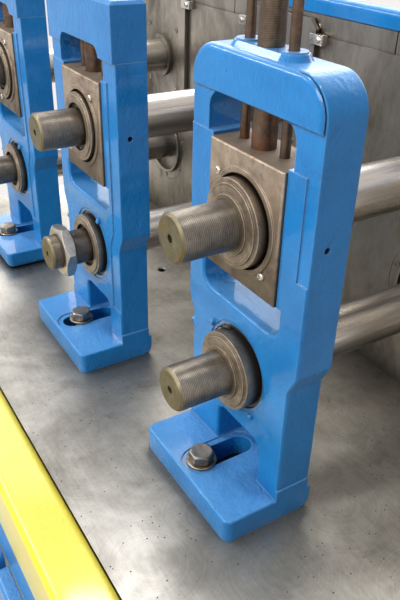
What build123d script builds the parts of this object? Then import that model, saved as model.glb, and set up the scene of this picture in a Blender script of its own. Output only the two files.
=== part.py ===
import math
import os

from build123d import *

os.makedirs("parts", exist_ok=True)

# A three-stand section of a roll forming machine, in millimetres.
# +X runs along the line, +Y from the outboard stands to the inboard wall, +Z up.
# The origin is on the floor, under the middle of the section.

# Stands along the line. Each stands a little forward or back on its slotted foot.
stand_pitch = 366.0
bed_end = 262.0
station_names = ["left", "middle", "right"]
station_xs = [-stand_pitch, 0.0, stand_pitch]
station_shifts = [-6.0, -14.0, 0.0]
line_length = 2 * stand_pitch + 2 * bed_end

# Base, bed and front rail
base_depth = 784.0
bed_height = 860.0
bed_thickness = 40.0
rail_width = 62.0
rail_height = 90.0
rail_round = 11.0
rail_rise = 4.0
rail_wall = 6.0
cover_proud = 20.0
beam_width = 90.0
beam_height = 120.0
cover_gap = 12.0
cover_bottom = 90.0
cover_corner = 14.0
cover_round = 6.0
leg_size = 90.0
leg_inset = 90.0
foot_plate_size = 130.0
foot_plate_thickness = 18.0
anchor_radius = 9.0
anchor_edge = 16.0
tie_width = 50.0
tie_height = 60.0
tie_bottom = 120.0
tapped_radius = 7.0
tapped_sink = 9.0
tapped_offset = -135.5
tapped_y = 64.0

# Outboard stands
stand_face_y = -115.0
stand_depth = 45.0
stand_width = 206.0
stand_lower_width = 184.0
step_above_axis = 25.0
step_rise = 23.0
web_over_bore = 24.0
head_thickness = 43.5
head_band = 42.0
head_round = 35.0
head_slope = 4.0
head_pad_half = 18.0
head_pad_rise = 6.0
head_pad_taper = 30.0
cap_rise = 12.0
step_round = 8.0
head_proud = 2.5
edge_round = 7.0
window_width = 140.0
window_offset = -3.0
window_round = 18.5
window_edge = 4.0
guide_gap = 123.0
cap_round = 15.0
face_above_axis = 73.5
face_proud = 1.5
face_margins = [25.0, 25.0, 16.0]
face_margin_bottoms = [84.0, 84.0, 312.0]
foot_width = 187.0
foot_front = 67.0
foot_rear = 4.5
foot_thickness = 31.0
foot_corner = 10.0
foot_edge = 3.0
root_fillet = 14.0
slot_width = 30.0
slot_front = 54.0
slot_back = 33.0
pad_margin = 8.0
pad_depth = 1.5
pocket_left = -30.0
pocket_right = 54.0
pocket_top = 85.0
pocket_depth = 38.0
pocket_round = 14.0
pocket_edge = 4.0
side_hole_radius = 3.5
side_hole_depth = 14.0
side_hole_above_axis = 7.0
side_hole_y = 19.0
seam_below_window = 13.5
cap_chamfer = 4.0

# Foot bolts
bolt_front = 38.0
bolt_radius = 9.0
bolt_clearance = 0.2
bolt_head_flats = 27.0
bolt_head_height = 12.0
bolt_reach = 32.0
washer_radius = 18.5
washer_thickness = 3.5

# Spindles
lower_axis = 160.0
spindle_radius = 30.0
thread_radius = 25.0
thread_chamfer = 2.5
journal_radius = 26.5
nose_proud = 85.0
spindle_rear = 60.0
centre_hole_radius = 4.5
centre_hole_depth = 10.0
key_width = 18.0
key_depth = 7.0
key_margin = 22.0
running_clearance = 0.06
housing_bore = 50.0
spot_ring_radius = 55.0
spot_ring_depth = 1.5
bearing_set_back = 4.0
seat_clearance = 0.2
ring_set_back = 3.0
ring_radius = 46.0
stack_proud = 21.0
stack_rings = [(2.5, 31.0), (2.5, 41.5)]
collar_proud = 12.0
collar_rings = [(2.0, 42.5)]
collar_recess_radius = 32.0
collar_recess_depth = 6.0
hex_nut_flats = 70.0
hex_nut_thickness = 17.0
hex_nut_set_back = 16.0

# Sliding block, its screw and its two lifting rods
block_clearance = 0.7
block_room_below = 37.5
block_below_axis = 68.5
block_above_axis = 70.5
block_room_above = 44.0
block_proud = 4.0
block_chamfer = 1.5
recess_radius = 49.0
recess_depth = 12.0
block_ring_radius = 55.0
block_ring_proud = 2.0
drive_offset = -6.0
screw_radius = 12.5
screw_clearance = 0.3
screw_seat_radius = 10.5
screw_seat_depth = 12.0
screw_top = 130.0
drive_flats = 17.0
drive_length = 24.0
rod_radius = 5.0
rod_offset = 33.0
rod_clearance = 0.5
rod_seat_depth = 12.0
rod_top = 105.0
boss_radius = 13.0
boss_height = 1.5

# Inboard wall and the sliding plates on it
wall_face_y = 202.0
wall_thickness = 30.0
strip_height = 27.0
strip_recess = 2.5
wall_cap_height = 24.0
wall_cap_recess = 5.0
wall_cap_round = 9.0
seam_offset = -136.0
seam_gap = 2.0
slide_half_width = 84.0
slide_half_height = 128.0
slide_corner = 13.0
slide_thickness = 7.0
slide_clearance = 0.3
slide_ring_radius = 39.0
slide_ring_proud = 7.0
travel_clearance = 6.0
travel_stop = 1.0
bearing_cap_radius = 77.0
bearing_ring_radius = 61.0
bearing_ring_width = 6.0
bearing_ring_proud = 7.0

# Gear case behind the wall
case_below_strip = 17.0
case_wall = 15.0
case_end = 28.0
case_round = 10.0
rear_cover_width = 300.0
rear_cover_height = 340.0
rear_cover_thickness = 12.0

# Places that several pieces share
rail_front_y = -base_depth / 2 + cover_proud
bed_front_y = rail_front_y + rail_width
bed_rear_y = -rail_front_y
bed_bottom = bed_height - bed_thickness
beam_bottom = bed_bottom - beam_height
cover_top = beam_bottom - cover_gap
nose_y = stand_face_y - nose_proud
spindle_rear_y = wall_face_y + spindle_rear
slide_face_y = wall_face_y - slide_clearance - slide_thickness
wall_rear_y = wall_face_y + wall_thickness
bolt_y = stand_face_y - bolt_front

# Heights above the bed, from the lower spindles up to the stands' heads and the wall's cap
window_low = lower_axis + housing_bore + web_over_bore
block_low = window_low + block_room_below
upper_axis = block_low + block_below_axis
block_height = block_below_axis + block_above_axis
window_high = block_low + block_height + block_room_above
stand_height = window_high + head_thickness
face_top = upper_axis + face_above_axis
head_bottom = stand_height - head_band
cap_seam = window_high - seam_below_window
travel_down = block_room_below - window_round - travel_stop
travel_up = block_room_above - cap_round - travel_stop
strip_top = stand_height - wall_cap_height
wall_top = strip_top - strip_height
lower_z = bed_height + lower_axis
upper_z = bed_height + upper_axis


def finish(part, name):
    part.label = name
    export_step(part, f"parts/{name}.step")


def front_plane(x, y, z):
    """A plane that faces the operator, with its own X along the line and its Y up."""
    return Plane(origin=(x, y, z), x_dir=(1, 0, 0), z_dir=(0, -1, 0))


def axis_plane(x, z):
    """A plane through a spindle's centre line, for profiles of rings and shafts."""
    return Plane(origin=(x, 0, z), x_dir=(0, 1, 0), z_dir=(1, 0, 0))


# Base: two long beams on four legs, tied together low down, with a rebate for the front rail
leg_x = line_length / 2 - leg_inset
leg_y = bed_rear_y - beam_width / 2
tie_y = bed_rear_y - tie_width / 2
leg_spots = [(sx * leg_x, sy * leg_y) for sx in (-1, 1) for sy in (-1, 1)]
with BuildPart() as base_frame:
    with BuildSketch(Plane.XY.offset(beam_bottom)):
        with Locations((0, -leg_y), (0, leg_y)):
            Rectangle(line_length, beam_width)
        with Locations((-leg_x, 0), (leg_x, 0)):
            Rectangle(leg_size, 2 * leg_y)
    extrude(amount=beam_height)
    with BuildSketch(Plane.XY.offset(bed_height - rail_height)):
        with Locations((0, (rail_front_y + bed_front_y) / 2)):
            Rectangle(line_length, rail_width)
    extrude(amount=rail_height, mode=Mode.SUBTRACT)
    with BuildSketch():
        with Locations(*leg_spots):
            Rectangle(leg_size, leg_size)
    extrude(amount=beam_bottom)
    with BuildSketch():
        with Locations(*leg_spots):
            RectangleRounded(foot_plate_size, foot_plate_size, cover_corner)
    extrude(amount=foot_plate_thickness)
    with BuildSketch(Plane.XY.offset(tie_bottom)):
        with Locations((0, -tie_y), (0, tie_y)):
            Rectangle(2 * leg_x, tie_width)
        with Locations((-leg_x, 0), (leg_x, 0)):
            Rectangle(tie_width, 2 * leg_y)
    extrude(amount=tie_height)
    anchor_x = leg_x + foot_plate_size / 2 - anchor_edge
    with Locations(*[(math.copysign(anchor_x, x), y, foot_plate_thickness) for x, y in leg_spots]):
        Hole(anchor_radius, depth=foot_plate_thickness)
finish(base_frame.part, "base_frame")

# Bed plate, with the stands' bolt holes and a tapped hole beside each stand
with BuildPart() as bed_plate:
    with BuildSketch(Plane.XY.offset(bed_bottom)):
        with Locations((0, (bed_front_y + bed_rear_y) / 2)):
            Rectangle(line_length, bed_rear_y - bed_front_y)
    extrude(amount=bed_thickness)
    with Locations(*[(x + tapped_offset, tapped_y, bed_height) for x in station_xs]):
        CounterSinkHole(tapped_radius, tapped_sink, depth=bed_thickness)
    with Locations(*[(x + drive_offset, bolt_y, bed_height) for x in station_xs]):
        Hole(bolt_radius + bolt_clearance, depth=bed_thickness)
finish(bed_plate.part, "bed_plate")

# Front rail, a formed section along the bed's outer edge
rail_low = bed_height - rail_height
rail_high = bed_height + rail_rise
with BuildPart() as front_rail:
    with BuildSketch(Plane.YZ.offset(-line_length / 2)) as rail_profile:
        with BuildLine():
            Polyline(
                (bed_front_y, rail_low),
                (bed_front_y, rail_high),
                (rail_front_y, rail_high),
                (rail_front_y, rail_low),
                close=True,
            )
        make_face()
        fillet(rail_profile.vertices().group_by(Axis.Y)[-1], rail_round)
        offset(amount=-rail_wall, mode=Mode.SUBTRACT)
    extrude(amount=line_length)
finish(front_rail.part, "front_rail")

# Sheet covers that close the base between the beams and the floor
cover_length = (line_length - 2 * cover_gap) / 3
cover_height = cover_top - cover_bottom
cover_middle_z = cover_bottom + cover_height / 2
for name, face_y, inward in (("front_covers", -base_depth / 2, -1), ("rear_covers", base_depth / 2, 1)):
    with BuildPart() as covers:
        with BuildSketch(front_plane(0, face_y, cover_middle_z)):
            with GridLocations(cover_length + cover_gap, 1, 3, 1):
                RectangleRounded(cover_length, cover_height, cover_corner)
        extrude(amount=inward * cover_proud)
        outer_faces = covers.faces().filter_by(lambda face: abs(face.center().Y - face_y) < 0.01)
        fillet(outer_faces.edges(), cover_round)
    finish(covers.part, name)


def stand_outline(top, corner):
    """Front view of a housing: narrow below, wider above a slanted step."""
    half, lower_half = stand_width / 2, stand_lower_width / 2
    step_low = lower_axis + step_above_axis
    step_high = step_low + step_rise
    with BuildSketch() as outline:
        with BuildLine():
            Polyline(
                (-lower_half, 0),
                (-lower_half, step_low),
                (-half, step_high),
                (-half, top),
                (half, top),
                (half, step_high),
                (lower_half, step_low),
                (lower_half, 0),
                close=True,
            )
        make_face()
        fillet(outline.vertices().filter_by_position(Axis.Y, step_low, step_high), step_round)
        if corner:
            fillet(outline.vertices().group_by(Axis.Y)[-1], corner)
    return outline.sketch


def window_outline():
    """Cast opening of a housing, narrowed between the two guides of the sliding block."""
    with BuildSketch() as opening:
        with Locations((window_offset, (window_low + window_high) / 2)):
            RectangleRounded(window_width, window_high - window_low, window_round)
        for side in (-1, 1):
            with Locations((side * (guide_gap + window_width) / 2, (block_low + face_top) / 2)):
                Rectangle(window_width, face_top - block_low, mode=Mode.SUBTRACT)
    return opening.sketch


def cut_head_holes(x, y, top):
    """Holes down through a housing's head for the screw and the rods; call inside a BuildPart."""
    depth = top - window_high + window_round
    with Locations((x, y, bed_height + top)):
        Hole(screw_radius + screw_clearance, depth=depth)
    with Locations((x - rod_offset, y, bed_height + top), (x + rod_offset, y, bed_height + top)):
        Hole(rod_radius + rod_clearance, depth=depth)


# Outboard stands: the right one is a single casting, the others carry separate caps
station_faces = zip(station_names, station_xs, station_shifts, face_margins, face_margin_bottoms)
for name, x, shift, margin, margin_bottom in station_faces:
    one_piece = name == "right"
    face_y = stand_face_y + shift
    mid_y = face_y + stand_depth / 2
    drive_x = x + drive_offset
    top = stand_height if one_piece else cap_seam
    outline = stand_outline(top, head_round if one_piece else 0)
    with BuildPart() as stand:
        with BuildSketch(front_plane(x, face_y - head_proud, bed_height)):
            add(outline)
        extrude(amount=-(stand_depth + head_proud))
        front_edges = stand.edges().filter_by(
            lambda e: abs(e.center().Y - face_y + head_proud) < 0.01 and e.center().Z > bed_height + 1
            and (one_piece or e.center().Z < bed_height + top - 1))
        fillet(front_edges, edge_round)
        # the columns stand back from the head, below a slanted crease, and most above their machined face
        with BuildSketch(Plane.YZ.offset(x - stand_width / 2)):
            with BuildLine():
                Polyline(
                    (face_y - head_proud, 0),
                    (face_y, 0),
                    (face_y, bed_height + face_top),
                    (face_y + face_proud, bed_height + face_top),
                    (face_y + face_proud, bed_height + head_bottom - head_slope),
                    (face_y - head_proud, bed_height + head_bottom),
                    close=True,
                )
            make_face()
        extrude(amount=stand_width, mode=Mode.SUBTRACT)
        # foot, blended into the front of the columns
        with BuildSketch(Plane.YZ.offset(x - foot_width / 2)) as foot_profile:
            with BuildLine():
                Polyline(
                    (face_y - foot_front, bed_height),
                    (face_y - foot_front, bed_height + foot_thickness),
                    (face_y, bed_height + foot_thickness),
                    (face_y, bed_height + foot_thickness + root_fillet),
                    (face_y + stand_depth, bed_height + foot_thickness + root_fillet),
                    (face_y + stand_depth, bed_height + foot_thickness),
                    (face_y + stand_depth + foot_rear, bed_height + foot_thickness),
                    (face_y + stand_depth + foot_rear, bed_height),
                    close=True,
                )
            make_face()
            inner_corner = foot_profile.vertices().sort_by_distance(
                (x - foot_width / 2, face_y, bed_height + foot_thickness))[0]
            fillet(inner_corner, root_fillet - 0.5)
        extrude(amount=foot_width)
        corner_edges = stand.edges().filter_by(Axis.Z).filter_by(
            lambda e: abs(e.center().Y - face_y + foot_front) < 0.01)
        fillet(corner_edges, foot_corner)
        front_top = stand.edges().filter_by(
            lambda e: abs(e.center().Z - bed_height - foot_thickness) < 0.01
            and e.center().Y < face_y - foot_front + foot_corner)
        fillet(front_top, foot_edge)
        # window for the sliding block, with a rounded rim below the guides
        with BuildSketch(front_plane(x, face_y, bed_height)):
            add(window_outline())
        extrude(amount=2 * stand_depth, both=True, mode=Mode.SUBTRACT)
        window_rim = stand.edges().filter_by(
            lambda e: abs(e.center().Y - face_y) < 0.01 and abs(e.center().X - x) < window_width / 2 + 5
            and window_low - 1 < e.center().Z - bed_height < block_low - 1)
        fillet(window_rim, window_edge)
        # lower bearing bore in a round spot face
        with BuildSketch(front_plane(x, face_y, bed_height)):
            with Locations((0, lower_axis)):
                Circle(spot_ring_radius)
        extrude(amount=-spot_ring_depth, mode=Mode.SUBTRACT)
        with BuildSketch(front_plane(x, face_y, bed_height)):
            with Locations((0, lower_axis)):
                Circle(housing_bore)
        extrude(amount=-stand_depth, mode=Mode.SUBTRACT)
        # arched pocket over the foot's slot
        pocket_width = pocket_right - pocket_left
        with BuildSketch(front_plane(x, face_y, bed_height)):
            with Locations(((pocket_left + pocket_right) / 2, foot_thickness)):
                RectangleRounded(pocket_width, 2 * (pocket_top - foot_thickness), pocket_round)
                Rectangle(pocket_width, pocket_top, align=(Align.CENTER, Align.MAX), mode=Mode.SUBTRACT)
        extrude(amount=-pocket_depth, mode=Mode.SUBTRACT)
        pocket_rim = stand.edges().filter_by(
            lambda e: abs(e.center().Y - face_y) < 0.01 and abs(e.center().X - x) < stand_lower_width / 2 - 1
            and foot_thickness + root_fillet < e.center().Z - bed_height < pocket_top + 1)
        fillet(pocket_rim, pocket_edge)
        # the machined face ends in a low step beside the right edge
        with BuildSketch(front_plane(x, face_y, bed_height)):
            add(outline)
            add(outline.moved(Location((-margin, 0, 0))), mode=Mode.SUBTRACT)
            Rectangle(2 * stand_width, 2 * margin_bottom, mode=Mode.SUBTRACT)
        extrude(amount=-face_proud, mode=Mode.SUBTRACT)
        # slot in the foot, with a milled pad around it
        slot_length = slot_front + slot_back
        with BuildSketch(Plane.XY.offset(bed_height + foot_thickness - pad_depth)):
            with Locations((drive_x, face_y + (slot_back - slot_front) / 2)):
                SlotOverall(slot_length + 2 * pad_margin, slot_width + 2 * pad_margin, rotation=90)
        extrude(amount=pad_depth + root_fillet, mode=Mode.SUBTRACT)
        with BuildSketch(Plane.XY.offset(bed_height)):
            with Locations((drive_x, face_y + (slot_back - slot_front) / 2)):
                SlotOverall(slot_length, slot_width, rotation=90)
        extrude(amount=foot_thickness, mode=Mode.SUBTRACT)
        # tapped hole in the side
        if name != "left":
            side_hole_place = (x + stand_width / 2, face_y + side_hole_y, upper_z + side_hole_above_axis)
            with Locations(Plane(origin=side_hole_place, z_dir=(1, 0, 0))):
                Hole(side_hole_radius, depth=side_hole_depth)
        if one_piece:
            # raised pad and spot faces where the screw and the rods come through
            pad_top = stand_height + head_pad_rise
            with BuildSketch(Plane.XY.offset(bed_height + stand_height)):
                with Locations((drive_x, mid_y)):
                    SlotOverall(2 * (rod_offset + head_pad_half), 2 * head_pad_half)
            extrude(amount=head_pad_rise, taper=head_pad_taper)
            with BuildSketch(Plane.XY.offset(bed_height + pad_top)):
                with Locations((drive_x - rod_offset, mid_y), (drive_x + rod_offset, mid_y)):
                    Circle(boss_radius)
            extrude(amount=boss_height)
            cut_head_holes(drive_x, mid_y, pad_top + boss_height)
    finish(stand.part, f"stand_{name}")

    if not one_piece:
        cap_top = stand_height + cap_rise
        outline = stand_outline(cap_top, 0)
        with BuildPart() as stand_cap:
            with BuildSketch(front_plane(x, face_y - head_proud, bed_height)):
                add(outline)
                with Locations((0, 0)):
                    Rectangle(2 * stand_width, cap_seam, align=(Align.CENTER, Align.MIN), mode=Mode.SUBTRACT)
                with Locations((0, (window_low + window_high) / 2)):
                    RectangleRounded(guide_gap, window_high - window_low, cap_round, mode=Mode.SUBTRACT)
            extrude(amount=-(stand_depth + head_proud))
            top_edges = stand_cap.faces().sort_by(Axis.Z)[-1].edges()
            chamfer(top_edges, cap_chamfer)
            cut_head_holes(drive_x, mid_y, cap_top)
        finish(stand_cap.part, f"stand_cap_{name}")

# Foot bolts with their washers
with BuildPart() as foot_bolts:
    for x in station_xs:
        bolt_x = x + drive_offset
        seat_z = bed_height + foot_thickness - pad_depth
        with BuildSketch(Plane.XY.offset(seat_z)):
            with Locations((bolt_x, bolt_y)):
                Circle(washer_radius)
        extrude(amount=washer_thickness)
        with BuildSketch(Plane.XY.offset(seat_z + washer_thickness)):
            with Locations((bolt_x, bolt_y)):
                RegularPolygon(bolt_head_flats / 2, 6, major_radius=False)
        extrude(amount=bolt_head_height)
        with BuildSketch(Plane.XY.offset(bed_height - bolt_reach)):
            with Locations((bolt_x, bolt_y)):
                Circle(bolt_radius)
        extrude(amount=bolt_reach + foot_thickness)
finish(foot_bolts.part, "foot_bolts")


def stepped_ring(x, z, steps, recess):
    """A ring turned about a spindle's axis; steps are (start y, end y, outer radius)."""
    inner, front_y = journal_radius + running_clearance, steps[0][0]
    points = [(front_y + recess, inner)]
    if recess:
        points += [(front_y + recess, collar_recess_radius), (front_y, collar_recess_radius)]
    for start, end, radius in steps:
        points += [(start, radius), (end, radius)]
    points.append((steps[-1][1], inner))
    with BuildPart() as ring:
        with BuildSketch(axis_plane(x, z)):
            with BuildLine():
                Polyline(*points, close=True)
            make_face()
        revolve(axis=Axis((x, 0, z), (0, 1, 0)))
    return ring.part


def ring_steps(name, face_y, bearing_y):
    """Rings in front of a bearing: a proud stack on the right stand, a low collar on the others."""
    proud, rings = (stack_proud, stack_rings) if name == "right" else (collar_proud, collar_rings)
    steps, y = [], face_y - proud
    for width, radius in rings:
        steps.append((y, y + width, radius))
        y += width
    steps.append((y, bearing_y + ring_set_back, ring_radius))
    return steps


# Fixed rings in the lower bores, and the inboard caps of the lower bearings
with BuildPart() as lower_bearings:
    for x, shift in zip(station_xs, station_shifts):
        face_y = stand_face_y + shift
        with BuildSketch(front_plane(x, face_y + bearing_set_back, lower_z)):
            Circle(housing_bore - seat_clearance)
            Circle(spindle_radius + running_clearance, mode=Mode.SUBTRACT)
        extrude(amount=-(stand_depth - bearing_set_back))
finish(lower_bearings.part, "lower_bearings")
with BuildPart() as bearing_caps:
    for x in station_xs:
        with BuildSketch(axis_plane(x, lower_z)):
            with BuildLine():
                Polyline(
                    (wall_face_y + 3, spindle_radius + running_clearance),
                    (wall_face_y + 3, bearing_ring_radius - bearing_ring_width),
                    (wall_face_y - bearing_ring_proud, bearing_ring_radius - bearing_ring_width),
                    (wall_face_y - bearing_ring_proud, bearing_ring_radius),
                    (wall_face_y, bearing_ring_radius),
                    (wall_face_y, bearing_cap_radius - seat_clearance),
                    (wall_rear_y, bearing_cap_radius - seat_clearance),
                    (wall_rear_y, spindle_radius + running_clearance),
                    close=True,
                )
            make_face()
        revolve(axis=Axis((x, 0, lower_z), (0, 1, 0)))
finish(bearing_caps.part, "inboard_bearing_caps")


def spindle(x, z, rings, recess):
    """Shaft with a threaded nose, a journal for the rings, and a keyway for the rolls."""
    thread_end_y, seat_y = rings[0][0] + recess, rings[-1][1]
    with BuildPart() as shaft:
        with BuildSketch(axis_plane(x, z)):
            with BuildLine():
                Polyline(
                    (nose_y + centre_hole_depth, 0),
                    (nose_y + centre_hole_depth - centre_hole_radius / 2, centre_hole_radius),
                    (nose_y, centre_hole_radius),
                    (nose_y, thread_radius - thread_chamfer),
                    (nose_y + thread_chamfer, thread_radius),
                    (thread_end_y, thread_radius),
                    (thread_end_y, journal_radius),
                    (seat_y, journal_radius),
                    (seat_y, spindle_radius),
                    (spindle_rear_y, spindle_radius),
                    (spindle_rear_y, 0),
                    close=True,
                )
            make_face()
        revolve(axis=Axis((x, 0, z), (0, 1, 0)))
        key_start = seat_y + stand_depth + key_margin
        key_end = slide_face_y - slide_ring_proud - key_margin
        with BuildSketch(Plane.XY.offset(z - spindle_radius)):
            with Locations((x, (key_start + key_end) / 2)):
                SlotOverall(key_end - key_start, key_width, rotation=90)
        extrude(amount=key_depth, mode=Mode.SUBTRACT)
    return shaft.part


# Lower spindles and the rings that turn with them
for name, x, shift in zip(station_names, station_xs, station_shifts):
    face_y = stand_face_y + shift
    recess = 0 if name == "right" else collar_recess_depth
    rings = ring_steps(name, face_y, face_y)
    finish(spindle(x, lower_z, rings, recess), f"lower_spindle_{name}")
    finish(stepped_ring(x, lower_z, rings, recess), f"lower_nut_{name}")
with BuildPart() as hex_nut:
    with BuildSketch(front_plane(station_xs[1], nose_y + hex_nut_set_back, lower_z)):
        RegularPolygon(hex_nut_flats / 2, 6, major_radius=False, rotation=20)
        Circle(thread_radius + running_clearance, mode=Mode.SUBTRACT)
    extrude(amount=-hex_nut_thickness)
finish(hex_nut.part, "hex_nut_middle")

# Sliding blocks in the stands' windows, their inboard plates, spindles, screws and rods
block_z = bed_height + block_low
block_top_z = block_z + block_height
for name, x, shift in zip(station_names, station_xs, station_shifts):
    face_y = stand_face_y + shift
    mid_y = face_y + stand_depth / 2
    drive_x = x + drive_offset
    recess = 0 if name == "right" else collar_recess_depth
    block_face_y = face_y - block_proud
    with BuildPart() as block:
        with BuildSketch(front_plane(x, block_face_y, block_z + block_height / 2)):
            Rectangle(guide_gap - 2 * block_clearance, block_height)
        extrude(amount=-(stand_depth + 2 * block_proud))
        chamfer(block.faces().sort_by(Axis.Y)[0].edges(), block_chamfer)
        with BuildSketch(front_plane(x, block_face_y, upper_z)):
            Circle(block_ring_radius)
        extrude(amount=block_ring_proud)
        with BuildSketch(front_plane(x, block_face_y - block_ring_proud, upper_z)):
            Circle(recess_radius)
        extrude(amount=-(recess_depth + block_ring_proud), mode=Mode.SUBTRACT)
        with BuildSketch(front_plane(x, block_face_y, upper_z)):
            Circle(spindle_radius + running_clearance)
        extrude(amount=-(stand_depth + 2 * block_proud), mode=Mode.SUBTRACT)
        with Locations((drive_x, mid_y, block_top_z)):
            Hole(screw_seat_radius + screw_clearance, depth=screw_seat_depth)
        with Locations([(drive_x + side * rod_offset, mid_y, block_top_z) for side in (-1, 1)]):
            Hole(rod_radius + seat_clearance / 2, depth=rod_seat_depth)
    finish(block.part, f"sliding_block_{name}")

    with BuildPart() as slide_plate:
        with BuildSketch(front_plane(x, slide_face_y, upper_z)):
            corners = Rectangle(2 * slide_half_width, 2 * slide_half_height).vertices()
            chamfer(corners, slide_corner)
            with Locations((0, lower_axis - upper_axis + travel_down)):
                Circle(bearing_ring_radius + travel_clearance, mode=Mode.SUBTRACT)
        extrude(amount=-slide_thickness)
        with BuildSketch(front_plane(x, slide_face_y, upper_z)):
            Circle(slide_ring_radius)
        extrude(amount=slide_ring_proud)
        with BuildSketch(front_plane(x, slide_face_y - slide_ring_proud, upper_z)):
            Circle(spindle_radius + running_clearance)
        extrude(amount=-(slide_thickness + slide_ring_proud), mode=Mode.SUBTRACT)
    finish(slide_plate.part, f"inboard_slide_{name}")

    rings = ring_steps(name, face_y, block_face_y)
    finish(spindle(x, upper_z, rings, recess), f"upper_spindle_{name}")
    finish(stepped_ring(x, upper_z, rings, recess), f"upper_nut_{name}")

    with BuildPart() as screw:
        with BuildSketch(Plane.XY.offset(block_top_z - screw_seat_depth)):
            with Locations((drive_x, mid_y)):
                Circle(screw_seat_radius)
        extrude(amount=screw_seat_depth)
        thread_top = bed_height + stand_height + screw_top
        with BuildSketch(Plane.XY.offset(block_top_z)):
            with Locations((drive_x, mid_y)):
                Circle(screw_radius)
        extrude(amount=thread_top - block_top_z)
        chamfer(screw.faces().sort_by(Axis.Z)[-1].edges(), thread_chamfer)
        with BuildSketch(Plane.XY.offset(thread_top)):
            with Locations((drive_x, mid_y)):
                Rectangle(drive_flats, drive_flats)
        extrude(amount=drive_length)
    finish(screw.part, f"adjusting_screw_{name}")

    with BuildPart() as rods:
        with BuildSketch(Plane.XY.offset(block_top_z - rod_seat_depth)):
            with Locations((drive_x - rod_offset, mid_y), (drive_x + rod_offset, mid_y)):
                Circle(rod_radius)
        extrude(amount=bed_height + stand_height + rod_top - block_top_z + rod_seat_depth)
        chamfer(rods.edges().group_by(Axis.Z)[-1], 1.0)
    finish(rods.part, f"lifting_rods_{name}")

# Inboard wall with a slot for each upper spindle and a bore for each lower bearing cap
slot_half = spindle_radius + travel_clearance
upper_slot_low = upper_axis - travel_down - slot_half
upper_slot_high = upper_axis + travel_up + slot_half
with BuildPart() as wall:
    with BuildSketch(front_plane(0, wall_face_y, bed_height + wall_top / 2)):
        Rectangle(line_length, wall_top)
        with Locations(*[(x, (upper_slot_low + upper_slot_high) / 2 - wall_top / 2) for x in station_xs]):
            SlotOverall(upper_slot_high - upper_slot_low, 2 * slot_half, rotation=90, mode=Mode.SUBTRACT)
        with Locations(*[(x, lower_axis - wall_top / 2) for x in station_xs]):
            Circle(bearing_cap_radius, mode=Mode.SUBTRACT)
    extrude(amount=-wall_thickness)
finish(wall.part, "inboard_wall")

# Strips and rounded caps along the top of the wall, parted beside each station
seams = [-line_length / 2] + [x + seam_offset for x in station_xs] + [line_length / 2]
runs = []
for n, (start, end) in enumerate(zip(seams[:-1], seams[1:])):
    low = start + (seam_gap / 2 if n else 0)
    high = end - (seam_gap / 2 if n < len(seams) - 2 else 0)
    runs.append(((low + high) / 2, high - low))
with BuildPart() as wall_strips:
    with BuildSketch(Plane.XY.offset(bed_height + wall_top)):
        for middle, length in runs:
            with Locations((middle, (wall_face_y + strip_recess + wall_rear_y) / 2)):
                Rectangle(length, wall_thickness - strip_recess)
    extrude(amount=strip_height)
finish(wall_strips.part, "wall_strips")
with BuildPart() as wall_caps:
    with BuildSketch(Plane.XY.offset(bed_height + strip_top)):
        for middle, length in runs:
            with Locations((middle, (wall_face_y + wall_cap_recess + wall_rear_y) / 2)):
                Rectangle(length, wall_thickness - wall_cap_recess)
    extrude(amount=wall_cap_height)
    top_edges = wall_caps.faces().sort_by(Axis.Z)[-4:].edges().filter_by(Axis.X)
    fillet(top_edges, wall_cap_round)
finish(wall_caps.part, "wall_caps")

# Gear case, open towards the wall that closes it, with plates on its back
case_length = line_length - 2 * case_end
case_height = wall_top - case_below_strip
case_depth = bed_rear_y - wall_rear_y
with BuildPart() as gear_case:
    with BuildSketch(Plane.XY.offset(bed_height)):
        with Locations((0, wall_rear_y + case_depth / 2)):
            Rectangle(case_length, case_depth)
    extrude(amount=case_height)
    rear_edges = gear_case.faces().sort_by(Axis.Y)[-1].edges().sort_by(Axis.Z)[1:]
    fillet(rear_edges, case_round)
    with BuildSketch(front_plane(0, wall_rear_y, bed_height + case_height / 2)):
        Rectangle(case_length - 2 * case_wall, case_height - 2 * case_wall)
    extrude(amount=-(case_depth - case_wall), mode=Mode.SUBTRACT)
finish(gear_case.part, "gear_case")
with BuildPart() as case_covers:
    with BuildSketch(front_plane(0, bed_rear_y, bed_height + case_height / 2)):
        with Locations(*[(x, 0) for x in station_xs]):
            RectangleRounded(rear_cover_width, rear_cover_height, case_round)
    extrude(amount=-rear_cover_thickness)
finish(case_covers.part, "case_covers")
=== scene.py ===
import math

import bmesh
import bpy
from mathutils import Matrix, Vector


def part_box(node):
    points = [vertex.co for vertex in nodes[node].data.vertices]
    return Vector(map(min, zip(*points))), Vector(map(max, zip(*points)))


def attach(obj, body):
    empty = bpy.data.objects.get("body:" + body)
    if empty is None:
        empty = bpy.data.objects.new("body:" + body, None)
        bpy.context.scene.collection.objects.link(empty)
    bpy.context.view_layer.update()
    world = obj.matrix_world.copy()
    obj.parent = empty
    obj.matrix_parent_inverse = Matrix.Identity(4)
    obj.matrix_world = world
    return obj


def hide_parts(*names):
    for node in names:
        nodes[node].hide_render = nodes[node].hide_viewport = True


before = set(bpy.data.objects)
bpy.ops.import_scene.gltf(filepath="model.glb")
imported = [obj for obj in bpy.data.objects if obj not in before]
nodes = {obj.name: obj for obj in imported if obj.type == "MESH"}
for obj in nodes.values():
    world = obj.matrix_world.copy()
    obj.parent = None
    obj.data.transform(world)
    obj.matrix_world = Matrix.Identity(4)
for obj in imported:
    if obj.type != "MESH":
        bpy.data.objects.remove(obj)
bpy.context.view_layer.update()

scene = bpy.context.scene
stations = ["left", "middle", "right"]


# Small helpers for node trees

def addNode(tree, kind, place=(0, 0), **settings):
    node = tree.nodes.new(kind)
    node.location = place
    for key, value in settings.items():
        if key in node.inputs:
            node.inputs[key].default_value = value
        else:
            setattr(node, key, value)
    return node


def link(tree, source, target):
    tree.links.new(source, target)


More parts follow.
